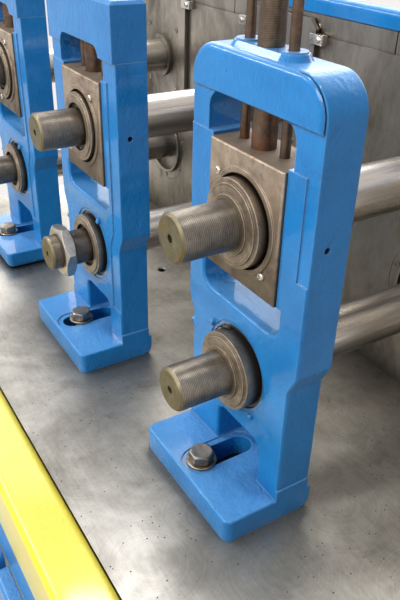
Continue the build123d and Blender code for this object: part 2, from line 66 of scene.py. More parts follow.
def combine(tree, operation, a, b, place=(0, 0), clamp=False, added=None):
    # added is only for MULTIPLY_ADD
    node = addNode(tree, "ShaderNodeMath", place, operation=operation, use_clamp=clamp)
    for socket, value in zip(node.inputs, (a, b, added)):
        if isinstance(value, (int, float)):
            socket.default_value = value
        elif value is not None:
            link(tree, value, socket)
    return node.outputs[0]


def vectorMath(tree, operation, a, b, place=(0, 0)):
    node = addNode(tree, "ShaderNodeVectorMath", place, operation=operation)
    for socket, value in zip(node.inputs, (a, b)):
        if isinstance(value, tuple):
            socket.default_value = value
        elif value is not None:
            link(tree, value, socket)
    return node


def ramp(tree, value, stops, place=(0, 0)):
    node = addNode(tree, "ShaderNodeValToRGB", place)
    elements = node.color_ramp.elements
    while len(elements) < len(stops):
        elements.new(0.5)
    for element, (position, colour) in zip(elements, stops):
        element.position = position
        element.color = (*colour, 1) if isinstance(colour, tuple) else (colour, colour, colour, 1)
    link(tree, value, node.inputs[0])
    return node.outputs[0]


def mixColour(tree, factor, a, b, place=(0, 0)):
    node = addNode(tree, "ShaderNodeMix", place, data_type="RGBA")
    for socket, value in zip((node.inputs[0], node.inputs[6], node.inputs[7]), (factor, a, b)):
        if isinstance(value, tuple):
            socket.default_value = (*value, 1)
        elif isinstance(value, (int, float)):
            socket.default_value = value
        else:
            link(tree, value, socket)
    return node.outputs[2]


def splitVector(tree, source, place):
    parts = addNode(tree, "ShaderNodeSeparateXYZ", place)
    link(tree, source, parts.inputs[0])
    return parts.outputs


def facingUp(tree, low, high, place):
    # 0 where the normal's height is under low, 1 where it is over high
    surface = addNode(tree, "ShaderNodeNewGeometry", place)
    upward = splitVector(tree, surface.outputs["Normal"], (place[0] + 200, place[1]))["Z"]
    return ramp(tree, upward, [(low, 0.0), (high, 1.0)], (place[0] + 400, place[1]))


def swing(tree, value, factor):
    # how far a value lies from 0.5, times factor
    return combine(tree, "MULTIPLY", combine(tree, "SUBTRACT", value, 0.5), factor)


def twoTone(tree, value, pair, place):
    return ramp(tree, value, [(0.2, pair[0]), (0.8, pair[1])], place)


def tinted(colour, factor, added=0.0):
    return tuple(min(1.0, part * factor + added) for part in colour)


def newGroup(name, inputs, outputs):
    group = bpy.data.node_groups.new(name, "ShaderNodeTree")
    for side, sockets in (("INPUT", inputs), ("OUTPUT", outputs)):
        for label, value in sockets.items():
            kind = "NodeSocketVector" if isinstance(value, tuple) else "NodeSocketFloat"
            socket = group.interface.new_socket(name=label, in_out=side, socket_type=kind)
            socket.default_value = value
    return group, addNode(group, "NodeGroupInput", (-900, 0)), addNode(group, "NodeGroupOutput", (900, 0))


def placeGroup(tree, group, place, vector=None, **values):
    node = addNode(tree, "ShaderNodeGroup", place, node_tree=group)
    for key, value in values.items():
        node.inputs[key].default_value = value
    if vector is not None:
        link(tree, vector, node.inputs["Vector"])
    return node


# Cloudy smears: oil, wipe marks and uneven coats
smears, given, result = newGroup(
    "smears", {"Vector": (0, 0, 0), "Scale": 8.0, "Stretch": (1, 1, 1), "Contrast": 1.6}, {"Mask": 0.0})
stretched = vectorMath(smears, "MULTIPLY", given.outputs["Vector"], given.outputs["Stretch"], (-700, 0))
large = addNode(smears, "ShaderNodeTexNoise", (-500, 150), Detail=5.0, Roughness=0.62, Distortion=1.2)
small = addNode(smears, "ShaderNodeTexNoise", (-500, -150), Detail=4.0, Roughness=0.7, Distortion=0.4)
for noise, finer in ((large, 1.0), (small, 4.3)):
    scaled = combine(smears, "MULTIPLY", given.outputs["Scale"], finer, (-700, -200))
    link(smears, stretched.outputs[0], noise.inputs["Vector"])
    link(smears, scaled, noise.inputs["Scale"])
coarse = combine(smears, "MULTIPLY", large.outputs["Fac"], 0.65, (-300, 200))
blend = combine(smears, "MULTIPLY_ADD", small.outputs["Fac"], 0.35, (-250, 0), added=coarse)
spread = combine(smears, "SUBTRACT", blend, 0.5, (0, 0))
spread = combine(smears, "MULTIPLY", spread, given.outputs["Contrast"], (150, 0))
link(smears, combine(smears, "ADD", spread, 0.5, (300, 0), clamp=True), result.inputs["Mask"])

# Fine directional grain from grinding, turning or brushing
grain, given, result = newGroup(
    "grain", {"Vector": (0, 0, 0), "Along": (1, 1, 1), "Scale": 300.0}, {"Value": 0.0})
drawnOut = vectorMath(grain, "MULTIPLY", given.outputs["Vector"], given.outputs["Along"], (-700, 0))
lines = addNode(grain, "ShaderNodeTexNoise", (-450, 0), Detail=3.0, Roughness=0.75)
link(grain, drawnOut.outputs[0], lines.inputs["Vector"])
link(grain, given.outputs["Scale"], lines.inputs["Scale"])
link(grain, lines.outputs["Fac"], result.inputs["Value"])

# Small dark specks and pits: a dot in some of the cells
specks, given, result = newGroup(
    "specks", {"Vector": (0, 0, 0), "Scale": 60.0, "Size": 0.12, "Share": 0.3}, {"Mask": 0.0})
cells = addNode(specks, "ShaderNodeTexVoronoi", (-500, 0), feature="F1")
link(specks, given.outputs["Vector"], cells.inputs["Vector"])
link(specks, given.outputs["Scale"], cells.inputs["Scale"])
dot = combine(specks, "LESS_THAN", cells.outputs["Distance"], given.outputs["Size"], (-250, 100))
drawn = addNode(specks, "ShaderNodeSeparateColor", (-250, -150))
link(specks, cells.outputs["Color"], drawn.inputs[0])
chosen = combine(specks, "LESS_THAN", drawn.outputs[0], given.outputs["Share"], (0, -150))
link(specks, combine(specks, "MULTIPLY", dot, chosen, (250, 0)), result.inputs["Mask"])

# Rounded edges: a softened normal, and a mask of where it leans away from the true one
edges, given, result = newGroup(
    "edges", {"Radius": 0.0012, "Strength": 6.0}, {"Mask": 0.0, "Normal": (0, 0, 0)})
rounded = addNode(edges, "ShaderNodeBevel", (-600, 100), samples=6)
link(edges, given.outputs["Radius"], rounded.inputs["Radius"])
plain = addNode(edges, "ShaderNodeNewGeometry", (-600, -150))
lean = vectorMath(edges, "DOT_PRODUCT", rounded.outputs[0], plain.outputs["Normal"], (-350, 0))
away = combine(edges, "SUBTRACT", 1.0, lean.outputs["Value"], (-100, 0))
away = combine(edges, "MULTIPLY", away, given.outputs["Strength"], (150, 0), clamp=True)
link(edges, away, result.inputs["Mask"])
link(edges, rounded.outputs[0], result.inputs["Normal"])

# Distance from a turned piece's own axis: 1 at its widest
radial, given, result = newGroup("radial", {"Vector": (0, 0, 0), "Across": (1, 0, 1)}, {"Value": 0.0})
centred = vectorMath(radial, "SUBTRACT", given.outputs["Vector"], (0.5, 0.5, 0.5), (-600, 0))
flattened = vectorMath(radial, "MULTIPLY", centred.outputs[0], given.outputs["Across"], (-400, 0))
reach = vectorMath(radial, "LENGTH", flattened.outputs[0], None, (-200, 0))
link(radial, combine(radial, "MULTIPLY", reach.outputs["Value"], 2.0, (0, 0)), result.inputs["Value"])

# Corners and narrow places, from ambient occlusion: a mask for dirt and painted shade there, and for where
# paint lies thick
corners, given, result = newGroup(
    "corners", {"Distance": 0.01, "Strength": 1.5, "Open": 0.5}, {"Mask": 0.0})
hollow = addNode(corners, "ShaderNodeAmbientOcclusion", (-500, 0), samples=6)
link(corners, given.outputs["Distance"], hollow.inputs["Distance"])
closed = combine(corners, "SUBTRACT", given.outputs["Open"], hollow.outputs["AO"], (-200, 0), clamp=True)
closed = combine(corners, "MULTIPLY", closed, given.outputs["Strength"], (100, 0), clamp=True)
link(corners, closed, result.inputs["Mask"])
print("shared effects ready")


def startMaterial(name):
    material = bpy.data.materials.new(name)
    material.use_nodes = True
    tree = material.node_tree
    shader = tree.nodes["Principled BSDF"]
    shader.location = (900, 0)
    coordinates = addNode(tree, "ShaderNodeTexCoord", (-1300, 0))
    return material, tree, shader, coordinates.outputs


def addBump(tree, shader, height, strength, distance, normal=None):
    bump = addNode(tree, "ShaderNodeBump", (650, -300), Strength=strength, Distance=distance)
    link(tree, height, bump.inputs["Height"])
    if normal is not None:
        link(tree, normal, bump.inputs["Normal"])
    link(tree, bump.outputs[0], shader.inputs["Normal"])


# Brushed-on machine paint: soft brush ripples, thicker, lumpier and wetter towards corners, painted
# highlights along the edges, dust and painted sheen where it faces up, grime in patches, dirt and painted
# shade in the seams and a few dark specks
paintKinds = {
    "bluePaint": {"low": (0.006, 0.15, 0.43), "high": (0.016, 0.245, 0.62), "dirtAndShade": (0.010, 0.03, 0.06),
                  "dustAndSheen": (0.24, 0.49, 0.84), "dustAndSheenShare": 0.36, "edgeHighlight": (0.42, 0.68, 0.96), "specular": 0.12,
                  "coat": 0.4, "rimRadius": 0.0024},
    "yellowPaint": {"low": (0.84, 0.63, 0.0), "high": (0.95, 0.80, 0.02), "dirtAndShade": (0.40, 0.28, 0.05),
                    "dustAndSheen": (0.92, 0.84, 0.34), "dustAndSheenShare": 0.25, "edgeHighlight": (0.98, 0.87, 0.22), "specular": 0.4,
                    "coat": 0.5, "rimRadius": 0.0015},
}
paintCoat = {"grimeFrom": 0.85, "grimeShare": 0.6, "edgeHighlightShare": 0.26, "rough": (0.36, 0.24),
             "openLumps": 0.16, "cornerLumps": 1.3, "bump": 0.7, "bumpDepth": 0.0042, "coatRough": 0.09}


def makePaint(name, low, high, dirtAndShade, dustAndSheen, dustAndSheenShare, edgeHighlight, specular, coat, rimRadius):
    material, tree, shader, vectors = startMaterial(name)
    vector = vectors["Object"]
    cloud = placeGroup(tree, smears, (-900, 200), vector, Scale=7.0, Contrast=1.2).outputs[0]
    colour = twoTone(tree, cloud, (low, high), (-600, 200))
    spots = placeGroup(tree, specks, (-900, -50), vector, Scale=150.0, Size=0.12, Share=0.012).outputs[0]
    grime = placeGroup(tree, smears, (-900, -250), vector, Scale=22.0, Contrast=4.0).outputs[0]
    patches = combine(tree, "SUBTRACT", grime, paintCoat["grimeFrom"], (-650, -250), clamp=True)
    patches = combine(tree, "MULTIPLY", patches, paintCoat["grimeShare"])
    # dirt and painted shade: seams and corners, found by ambient occlusion, darken where the grime mask is
    # high
    seams = placeGroup(tree, corners, (-900, -450), Distance=0.010, Strength=2.2).outputs[0]
    seamDirtAndShade = combine(tree, "MULTIPLY", seams, grime, (-600, -450))
    uneven = combine(tree, "ADD", combine(tree, "MULTIPLY", cloud, 0.8), 0.5, (-650, -800))
    # dust and painted sheen: what faces up is made paler, partly as dust and partly as a painted sheen of
    # light from above
    dustAndSheenMask = combine(tree, "MULTIPLY", facingUp(tree, 0.55, 0.98, (-900, -650)), uneven, (-300, -800))
    rim = placeGroup(tree, edges, (-300, -600), Radius=rimRadius)
    # painted highlight: a paler colour laid along every edge, convex and concave alike
    edgeHighlightMask = combine(tree, "MULTIPLY", rim.outputs["Mask"], paintCoat["edgeHighlightShare"])
    colour = mixColour(tree, edgeHighlightMask, colour, edgeHighlight, (-350, 250))
    colour = mixColour(tree, combine(tree, "MULTIPLY", dustAndSheenMask, dustAndSheenShare), colour, dustAndSheen, (-320, 200))
    for mask, place in ((patches, (-300, 150)), (seamDirtAndShade, (-150, 150)), (spots, (0, 150))):
        colour = mixColour(tree, mask, colour, dirtAndShade, place)
    link(tree, colour, shader.inputs["Base Color"])
    link(tree, twoTone(tree, cloud, paintCoat["rough"], (-300, -100)), shader.inputs["Roughness"])
    ripple = placeGroup(tree, smears, (-300, -350), vector,
                        Scale=26.0, Stretch=(1.0, 1.0, 0.6), Contrast=1.0).outputs[0]
    lumps = placeGroup(tree, smears, (-300, -480), vector, Scale=95.0, Contrast=1.6).outputs[0]
    thick = placeGroup(tree, corners, (-300, -700), Distance=0.03, Strength=3.0, Open=0.85).outputs[0]
    lumpy = combine(tree, "MULTIPLY", thick, paintCoat["cornerLumps"])
    lumpy = combine(tree, "ADD", lumpy, paintCoat["openLumps"])
    height = combine(tree, "ADD", ripple, combine(tree, "MULTIPLY", lumps, lumpy))
    addBump(tree, shader, height, paintCoat["bump"], paintCoat["bumpDepth"], rim.outputs["Normal"])
    shader.inputs["Specular IOR Level"].default_value = specular
    wet = combine(tree, "MULTIPLY_ADD", thick, 1.0 - coat, (-100, -800), added=coat)
    link(tree, wet, shader.inputs["Coat Weight"])
    shader.inputs["Coat Roughness"].default_value = paintCoat["coatRough"]
    return material


# Steels: two tones under smears, and grain along one direction. edge brightens the rims, as worn metal and as
# a painted highlight, turned puts tool marks round the piece's axis, swirl scatters round scratches, pits are
# dark dots, rootShade is painted shade in a thread's root and patch is rust or old oil. film is dull oil on
# what faces up, shade is painted shade in narrow places, lowShade is painted shade that darkens a piece
# towards its bottom, and rearShade is painted shade on the widest part of the rings towards their back, where
# they meet the stand.
steelKinds = {
    "wallSteel": {
        "dark": (0.085, 0.072, 0.055), "light": (0.40, 0.365, 0.31), "rough": (0.52, 0.34), "scale": 7.0,
        "stretch": (1.0, 1.0, 0.5), "along": (0.5, 1.0, 0.04), "grainScale": 420.0, "contrast": 3.2,
        "bump": 0.12,
        "shade": {"reach": 0.05, "colour": (0.05, 0.042, 0.032), "share": 0.8},
        "patch": {"colour": (0.10, 0.075, 0.05), "from": 0.72, "scale": 11.0}},
    "bedSteel": {
        "dark": (0.15, 0.14, 0.115), "light": (0.52, 0.497, 0.45), "rough": (0.56, 0.38), "scale": 4.5,
        "stretch": (1.0, 0.8, 1.0), "along": (0.12, 1.0, 1.0), "grainScale": 260.0, "contrast": 2.1,
        "bump": 0.22, "swirl": 7.0, "pits": {"Scale": 240.0, "Size": 0.22, "Share": 0.05},
        "shade": {"reach": 0.16, "colour": (0.055, 0.05, 0.04), "share": 0.9},
        "patch": {"colour": (0.15, 0.13, 0.10), "from": 0.70, "scale": 6.0}},
    "blockSteel": {
        "dark": (0.16, 0.115, 0.078), "light": (0.52, 0.43, 0.34), "rough": (0.62, 0.44), "scale": 13.0,
        "along": (1.0, 1.0, 0.06), "grainScale": 500.0, "contrast": 2.6, "bump": 0.14, "edge": 0.75,
        "rimRadius": 0.0009, "film": {"colour": (0.17, 0.115, 0.07), "share": 0.75},
        "shade": {"reach": 0.05, "colour": (0.05, 0.036, 0.022), "share": 0.6},
        "lowShade": {"low": 0.05, "high": 0.75, "colour": (0.07, 0.052, 0.034), "share": 0.72},
        "patch": {"colour": (0.17, 0.085, 0.035), "from": 0.66, "scale": 26.0}},
    "ringSteel": {
        "dark": (0.075, 0.05, 0.032), "light": (0.40, 0.33, 0.25), "rough": (0.54, 0.36), "scale": 24.0,
        "along": (0.3, 3.0, 0.3), "grainScale": 500.0, "contrast": 2.0, "bump": 0.10, "edge": 0.9,
        "rimRadius": 0.0013, "turned": (1, 0, 1), "metal": 0.8,
        "rearShade": {"colour": (0.02, 0.014, 0.009), "from": 0.35, "to": 0.75, "share": 0.85},
        "shade": {"reach": 0.012, "colour": (0.022, 0.015, 0.009), "share": 0.9},
        "patch": {"colour": (0.17, 0.085, 0.035), "from": 0.66, "scale": 42.0}},
    "noseSteel": {
        "dark": (0.07, 0.055, 0.04), "light": (0.46, 0.40, 0.325), "rough": (0.46, 0.32), "scale": 20.0,
        "along": (0.3, 3.0, 0.3), "grainScale": 400.0, "contrast": 1.8, "bump": 0.10, "rootShade": (1, 0, 1),
        "metal": 0.95,
        "shade": {"reach": 0.09, "colour": (0.045, 0.035, 0.022), "share": 0.75},
        "patch": {"colour": (0.20, 0.12, 0.06), "from": 0.74, "scale": 40.0}},
    "screwSteel": {
        "dark": (0.03, 0.02, 0.014), "light": (0.17, 0.115, 0.08), "rough": (0.52, 0.36), "scale": 26.0,
        "along": (1.0, 1.0, 0.1), "contrast": 2.2, "bump": 0.12, "metal": 0.85,
        "patch": {"colour": (0.24, 0.085, 0.035), "from": 0.54, "scale": 30.0}},
    "screwThreadSteel": {
        "dark": (0.045, 0.032, 0.024), "light": (0.19, 0.14, 0.10), "rough": (0.50, 0.36), "scale": 26.0,
        "along": (1.0, 1.0, 0.1), "contrast": 2.2, "bump": 0.12, "rootShade": (1, 1, 0), "metal": 0.85,
        "patch": {"colour": (0.19, 0.065, 0.028), "from": 0.66, "scale": 38.0}},
    "boltSteel": {
        "dark": (0.11, 0.088, 0.068), "light": (0.36, 0.31, 0.25), "rough": (0.52, 0.34), "scale": 40.0,
        "grainScale": 260.0, "contrast": 2.2, "bump": 0.25, "edge": 0.5, "rimRadius": 0.0008,
        "patch": {"colour": (0.17, 0.09, 0.045), "from": 0.72, "scale": 70.0}},
    "nutSteel": {
        "dark": (0.22, 0.195, 0.165), "light": (0.56, 0.52, 0.46), "rough": (0.44, 0.28), "scale": 28.0,
        "along": (1.0, 0.1, 1.0), "contrast": 1.8, "bump": 0.10, "edge": 0.5, "rimRadius": 0.0009,
        "patch": {"colour": (0.16, 0.11, 0.07), "from": 0.72, "scale": 45.0}},
    "brightSteel": {
        "dark": (0.42, 0.38, 0.32), "light": (0.74, 0.70, 0.64), "rough": (0.34, 0.22), "scale": 60.0,
        "contrast": 1.4, "bump": 0.05, "edge": 0.4, "rimRadius": 0.0005},
}
steelCoat = {"bumpDepth": 0.0006, "filmRough": (0.7, 0.7, 0.7)}


def toolMarks(tree, distance, scale, place):
    marks = addNode(tree, "ShaderNodeTexNoise", place, noise_dimensions="1D", Scale=scale, Detail=3.0)
    link(tree, distance, marks.inputs["W"])
    return marks.outputs[0]


def steelLook(tree, vectors, dark, light, rough, scale, contrast, stretch=(1.0, 1.0, 1.0),
              along=(1.0, 1.0, 1.0), grainScale=300.0, turned=None, rootShade=None, patch=None, pits=None,
              swirl=None, shift=0):
    vector = vectors["Object"]
    cloud = placeGroup(tree, smears, (-900, 200 + shift), vector,
                       Scale=scale, Stretch=stretch, Contrast=contrast).outputs[0]
    height = placeGroup(tree, grain, (-900, -50 + shift), vector, Along=along, Scale=grainScale).outputs[0]
    clouded = combine(tree, "MULTIPLY", cloud, 0.85)
    tone = combine(tree, "MULTIPLY_ADD", height, 0.3, (-600, 100 + shift), added=clouded)
    if turned:
        across = placeGroup(tree, radial, (-1100, -300 + shift), vectors["Generated"], Across=turned)
        marks = toolMarks(tree, across.outputs[0], 26.0, (-900, -300 + shift))
        tone = combine(tree, "ADD", tone, swing(tree, marks, 0.9))
        height = combine(tree, "ADD", height, marks)
    if swirl:
        centres = addNode(tree, "ShaderNodeTexVoronoi", (-1100, -600 + shift), feature="F1", Scale=swirl)
        link(tree, vector, centres.inputs["Vector"])
        arcs = toolMarks(tree, centres.outputs["Distance"], 70.0, (-900, -600 + shift))
        tone = combine(tree, "ADD", tone, swing(tree, arcs, 0.16))
        height = combine(tree, "ADD", height, combine(tree, "MULTIPLY", arcs, 0.35))
    colour = ramp(tree, tone, [(0.15, dark), (0.85, light)], (-400, 200 + shift))
    if patch:
        rust = placeGroup(tree, smears, (-900, 450 + shift), vector, Scale=patch["scale"], Contrast=2.4)
        share = combine(tree, "SUBTRACT", rust.outputs[0], patch["from"], clamp=True)
        share = combine(tree, "MULTIPLY", share, 2.6)
        colour = mixColour(tree, share, colour, patch["colour"], (-200, 250 + shift))
    if pits:
        holes = placeGroup(tree, specks, (-900, 650 + shift), vector, **pits)
        colour = mixColour(tree, holes.outputs[0], colour, tinted(dark, 0.35), (-100, 300 + shift))
    # painted shade: a thread's root, found by its distance from the axis, is darkened
    if rootShade:
        crest = placeGroup(tree, radial, (-1100, 850 + shift), vectors["Generated"], Across=rootShade)
        depth = ramp(tree, crest.outputs[0], [(0.978, 0.0), (0.997, 1.0)], (-900, 850 + shift))
        colour = mixColour(tree, depth, mixColour(tree, 0.8, colour, tinted(dark, 0.3)), colour)
    return colour, twoTone(tree, cloud, rough, (-400, -50 + shift)), height


def makeSteel(name, bump, edge=0.0, rimRadius=0.0, metal=1.0, film=None, shade=None, lowShade=None, rearShade=None,
              **look):
    material, tree, shader, vectors = startMaterial(name)
    colour, roughness, height = steelLook(tree, vectors, **look)
    shader.inputs["Metallic"].default_value = metal
    normal = None
    if edge:
        rim = placeGroup(tree, edges, (-400, -250), Radius=rimRadius, Strength=5.0)
        # rims brightened, partly as worn metal and partly as a painted highlight
        edgeWearAndHighlight = combine(tree, "MULTIPLY", rim.outputs["Mask"], edge, (-150, -250))
        colour = mixColour(tree, edgeWearAndHighlight, colour, tinted(look["light"], 1.6, 0.10), (0, 150))
        normal = rim.outputs["Normal"]
    if film:
        cover = combine(tree, "MULTIPLY", facingUp(tree, 0.6, 0.95, (-700, -900)), film["share"])
        colour = mixColour(tree, cover, colour, film["colour"])
        roughness = mixColour(tree, cover, roughness, steelCoat["filmRough"])
        metallic = mixColour(tree, cover, (metal, metal, metal), (0.0, 0.0, 0.0))
        link(tree, metallic, shader.inputs["Metallic"])
    if shade:
        narrow = placeGroup(tree, corners, (-700, -1500), Distance=shade["reach"], Strength=1.5, Open=0.97)
        share = combine(tree, "MULTIPLY", narrow.outputs[0], shade["share"])
        colour = mixColour(tree, share, colour, shade["colour"])
    # painted shade: the piece is darker towards its bottom
    if lowShade:
        tall = splitVector(tree, vectors["Generated"], (-700, -1700))["Z"]
        lowShadeShare = ramp(tree, tall, [(lowShade["low"], lowShade["share"]), (lowShade["high"], 0.0)], (-500, -1700))
        colour = mixColour(tree, lowShadeShare, colour, lowShade["colour"])
    # painted shade: the widest part of a ring darkens towards its back, where it meets the stand
    if rearShade:
        back = splitVector(tree, vectors["Generated"], (-700, -1100))["Y"]
        wide = placeGroup(tree, radial, (-700, -1250), vectors["Generated"], Across=(1, 0, 1))
        cover = combine(tree, "MULTIPLY", ramp(tree, back, [(rearShade["from"], 0.0), (rearShade["to"], 1.0)]),
                        ramp(tree, wide.outputs[0], [(0.93, 0.0), (0.97, 1.0)]))
        share = combine(tree, "MULTIPLY", cover, rearShade["share"])
        colour = mixColour(tree, share, colour, rearShade["colour"])
    link(tree, colour, shader.inputs["Base Color"])
    link(tree, roughness, shader.inputs["Roughness"])
    addBump(tree, shader, height, bump, steelCoat["bumpDepth"], normal)
    return material


# Spindles: ground steel behind the rings, its tone in long dark and bright streaks along the axis that are
# painted reflection bands, and turned and oily brown at the nose
spindleLook = {
    "noseEnd": -0.118, "bump": 0.06, "rimRadius": 0.0008,
    "nose": {"dark": (0.07, 0.06, 0.032), "light": (0.23, 0.20, 0.13), "rough": (0.60, 0.46), "scale": 20.0,
             "along": (0.3, 3.0, 0.3), "grainScale": 400.0, "contrast": 1.6, "turned": (1, 0, 1),
             "patch": {"colour": (0.20, 0.15, 0.05), "from": 0.52, "scale": 26.0}},
    # the shaft's long, high-contrast streaks along its axis are painted reflection bands
    "shaft": {"dark": (0.11, 0.11, 0.115), "light": (0.56, 0.52, 0.47), "rough": (0.38, 0.24), "scale": 26.0,
              "stretch": (1.0, 0.05, 1.0), "along": (1.0, 0.02, 1.0), "grainScale": 700.0, "contrast": 3.2},
}


def makeSpindleSteel(noseEnd, bump, rimRadius, nose, shaft):
    material, tree, shader, vectors = startMaterial("spindleSteel")
    along = splitVector(tree, vectors["Object"], (-1100, -900))["Y"]
    behind = combine(tree, "GREATER_THAN", along, noseEnd, (-900, -900))
    front = steelLook(tree, vectors, **nose)
    back = steelLook(tree, vectors, shift=-1200, **shaft)
    colour, roughness, height = (mixColour(tree, behind, front[i], back[i], (400, 200 - 200 * i))
                                 for i in range(3))
    link(tree, colour, shader.inputs["Base Color"])
    link(tree, roughness, shader.inputs["Roughness"])
    shader.inputs["Metallic"].default_value = 1.0
    rim = placeGroup(tree, edges, (-400, -600), Radius=rimRadius)
    addBump(tree, shader, height, bump, steelCoat["bumpDepth"], rim.outputs["Normal"])
    return material


materials = {name: makePaint(name, **values) for name, values in paintKinds.items()}
materials.update({name: makeSteel(name, **values) for name, values in steelKinds.items()})
materials["spindleSteel"] = makeSpindleSteel(**spindleLook)
print("materials ready:", len(materials))


def kindOf(name):
    return name.removesuffix("_left").removesuffix("_middle").removesuffix("_right")


# The finish of each CAD node, named without its station
finishKinds = {
    "bluePaint": ["base_frame", "front_covers", "rear_covers", "stand", "stand_cap", "wall_caps", "gear_case",
                  "case_covers"],
    "yellowPaint": ["front_rail"], "bedSteel": ["bed_plate"], "boltSteel": ["foot_bolts"],
    "wallSteel": ["inboard_wall", "inboard_bearing_caps", "inboard_slide", "wall_strips"],
    "blockSteel": ["sliding_block", "lower_bearings", "hex_nut"], "ringSteel": ["lower_nut", "upper_nut"],
    "spindleSteel": ["lower_spindle", "upper_spindle"], "screwSteel": ["adjusting_screw", "lifting_rods"],
}
for finish, kinds in finishKinds.items():
    for mesh in (node.data for name, node in nodes.items() if kindOf(name) in kinds):
        if not mesh.materials:
            mesh.materials.append(None)
        for index in range(len(mesh.materials)):
            mesh.materials[index] = materials[finish]

# Soft edges on the castings and machined parts: their triangles are joined first, so that only real edges
# are rounded
softEdges = {"stand": 0.0014, "stand_cap": 0.0010, "sliding_block": 0.0007, "lower_nut": 0.0006,
             "upper_nut": 0.0006, "lower_bearings": 0.0006, "front_rail": 0.0012, "wall_caps": 0.0012,
             "inboard_bearing_caps": 0.0008}
softening = {"weld": 0.00001, "flatAngle": 0.2, "edgeAngle": 30.0, "segments": 2, "weight": 80}
for name, node in nodes.items():
    if kindOf(name) not in softEdges:
        continue
    weld = node.modifiers.new("joinTriangles", "WELD")
    weld.merge_threshold = softening["weld"]
    flatten = node.modifiers.new("flattenFaces", "DECIMATE")
    flatten.decimate_type = "DISSOLVE"
    flatten.angle_limit = math.radians(softening["flatAngle"])
    soften = node.modifiers.new("roundEdges", "BEVEL")
    soften.limit_method = "ANGLE"
    soften.angle_limit = math.radians(softening["edgeAngle"])
    soften.width = softEdges[kindOf(name)]
    soften.segments = softening["segments"]
    soften.use_clamp_overlap = True
    even = node.modifiers.new("evenNormals", "WEIGHTED_NORMAL")
    even.weight = softening["weight"]
print("CAD nodes dressed and softened")


# Helpers for turned, hexagonal and bent pieces

def circleRow(radius, height, steps=32):
    if radius == 0:
        return [(0, 0, height)]
    turns = [2 * math.pi * i / steps for i in range(steps)]
    return [(radius * math.cos(turn), radius * math.sin(turn), height) for turn in turns]


def turnedRows(profile, steps):
    return [circleRow(radius, height, steps) for radius, height in profile]


def hexRows(flats, low, high, crown, steps=72):
    # the side of a hexagon between low and high, its corners cut by cones of 30 degrees that leave a round
    # face of crown times the flats, or uncut where crown is 1.2
    inner = flats / 2
    turns = [2 * math.pi * i / steps for i in range(steps)]
    reach = [inner / math.cos((turn + math.pi / 6) % (math.pi / 3) - math.pi / 6) for turn in turns]
    drop = [max(0.0, r - inner * crown) * math.tan(math.radians(30)) for r in reach]

    def row(height, sign):
        return [(r * math.cos(turn), r * math.sin(turn), height + sign * cut)
                for r, turn, cut in zip(reach, turns, drop)]
    return row(low, 1), row(high, -1)


def skinRows(bm, rows, matrix, closed=False):
    rings = [[bm.verts.new(matrix @ Vector(point)) for point in row] for row in rows]
    for a, b in zip(rings, rings[1:] + rings[:1] if closed else rings[1:]):
        for i in range(max(len(a), len(b))):
            quad = [a[i % len(a)], a[(i + 1) % len(a)], b[(i + 1) % len(b)], b[i % len(b)]]
            bm.faces.new(list(dict.fromkeys(quad)))  # a triangle where one row is a single point


def joinOutlines(bm, first, second):
    rings = [[bm.verts.new(point) for point in outline] for outline in (first, second)]
    for i in range(len(first)):
        j = (i + 1) % len(first)
        bm.faces.new((rings[0][i], rings[0][j], rings[1][j], rings[1][i]))
    for ring in rings:
        bm.faces.new(ring)


def easeEdges(bm, width):
    bmesh.ops.bevel(bm, geom=bm.edges[:], offset=width, segments=2, affect="EDGES", profile=0.7)


def standAlong(place, axis, spin=0.0):
    turn = Vector((0, 0, 1)).rotation_difference(Vector(axis)).to_matrix().to_4x4()
    return Matrix.Translation(place) @ turn @ Matrix.Rotation(spin, 4, "Z")


def finishPiece(bm, name, material, body, sharp=32.0):
    bmesh.ops.recalc_face_normals(bm, faces=bm.faces)
    for face in bm.faces:
        face.smooth = True
    for edge in bm.edges:
        if len(edge.link_faces) == 2 and edge.calc_face_angle() > math.radians(sharp):
            edge.smooth = False
    mesh = bpy.data.meshes.new(name)
    bm.to_mesh(mesh)
    bm.free()
    piece = bpy.data.objects.new(name, mesh)
    scene.collection.objects.link(piece)
    mesh.materials.append(materials[material])
    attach(piece, body)
    return piece


def middleOf(name, axis):
    low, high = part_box(name)
    return (low[axis] + high[axis]) / 2


def axisOf(name):
    return middleOf(name, 0), middleOf(name, 2)


# Thread ridges on the spindle noses and the adjusting screws. On the noses they run into the first ring by
# intoRings, and leave nutGap beside the hexagon nut
thread = {"pitch": 0.002, "lift": 0.00002, "noseRise": 0.0004, "screwRise": 0.00013, "crestFrom": 0.42,
          "crestTo": 0.58, "noseRadius": 0.025, "noseChamfer": 0.0025, "screwRadius": 0.0125,
          "driveLength": 0.024, "headBoss": 0.0015, "nutGap": 0.0003,
          "intoRings": {"left": 0.0055, "middle": 0.0055, "right": 0.0},
          "noseSteps": 72, "screwSteps": 56, "merge": 1e-7, "sharp": 80.0}


def threadSkin(bm, radius, rise, start, end, matrix, steps):
    pitch, root = thread["pitch"], radius + thread["lift"]
    crest = root + rise
    columns = ((0.0, root), (thread["crestFrom"] * pitch, crest), (thread["crestTo"] * pitch, crest))

    def point(i, offset, r):
        height = start - pitch + pitch * i / steps + offset
        if not start < height < end:
            height, r = min(max(height, start), end), root
        angle = 2 * math.pi * i / steps
        return matrix @ Vector((r * math.cos(angle), r * math.sin(angle), height))
    turns = int(steps * ((end - start) / pitch + 1)) + 1
    grid = [[bm.verts.new(point(i, offset, r)) for offset, r in columns] for i in range(turns + steps + 1)]
    for i in range(turns):
        a, b, c, d = grid[i], grid[i + 1], grid[i + steps + 1], grid[i + steps]
        for quad in ((a[0], b[0], b[1], a[1]), (a[1], b[1], b[2], a[2]), (a[2], b[2], c[0], d[0])):
            bm.faces.new(quad)
    bmesh.ops.remove_doubles(bm, verts=bm.verts, dist=thread["merge"])
    bmesh.ops.dissolve_degenerate(bm, edges=bm.edges, dist=thread["merge"])
    loose = [vert for vert in bm.verts if not vert.link_faces]
    bmesh.ops.delete(bm, geom=loose, context="VERTS")


